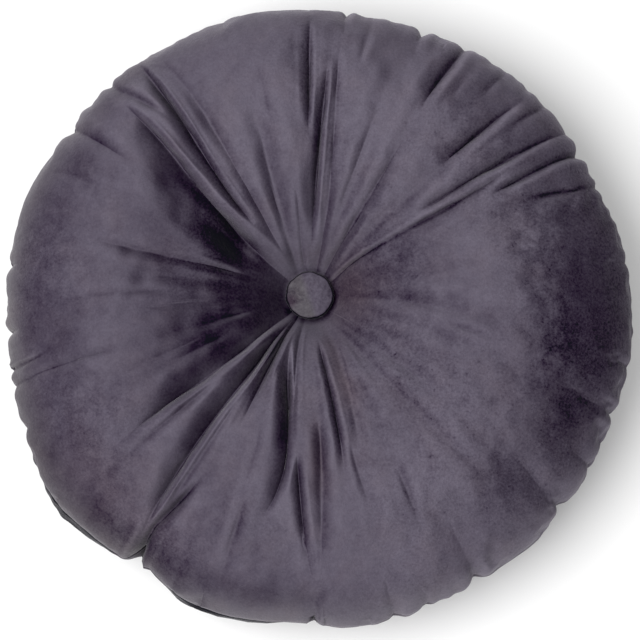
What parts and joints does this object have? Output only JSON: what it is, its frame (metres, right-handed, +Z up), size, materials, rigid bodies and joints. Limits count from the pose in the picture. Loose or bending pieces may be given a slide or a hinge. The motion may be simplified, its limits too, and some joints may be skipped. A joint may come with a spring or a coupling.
{
  "type": "round cushion",
  "caption": "Round button-tufted velvet cushion with radiating folds and a puckered rim, lying on its back.",
  "frame": {"origin": "centre of the round outline, on the surface that the cushion's back rests on", "axes": "+Z up, out of the front face; +X to the right and +Y to the top of the front face as it is seen from above"},
  "size_m": [0.3995, 0.3975, 0.0977],
  "materials": {
    "velvet": "short cotton velvet pile, purple-grey, soft sheen",
    "button_velvet": "the same velvet stretched over a covered button"
  },
  "bodies": {
    "root": {"cushion": "velvet", "button_front": "button_velvet", "button_back": "button_velvet"}
  },
  "joints": []
}
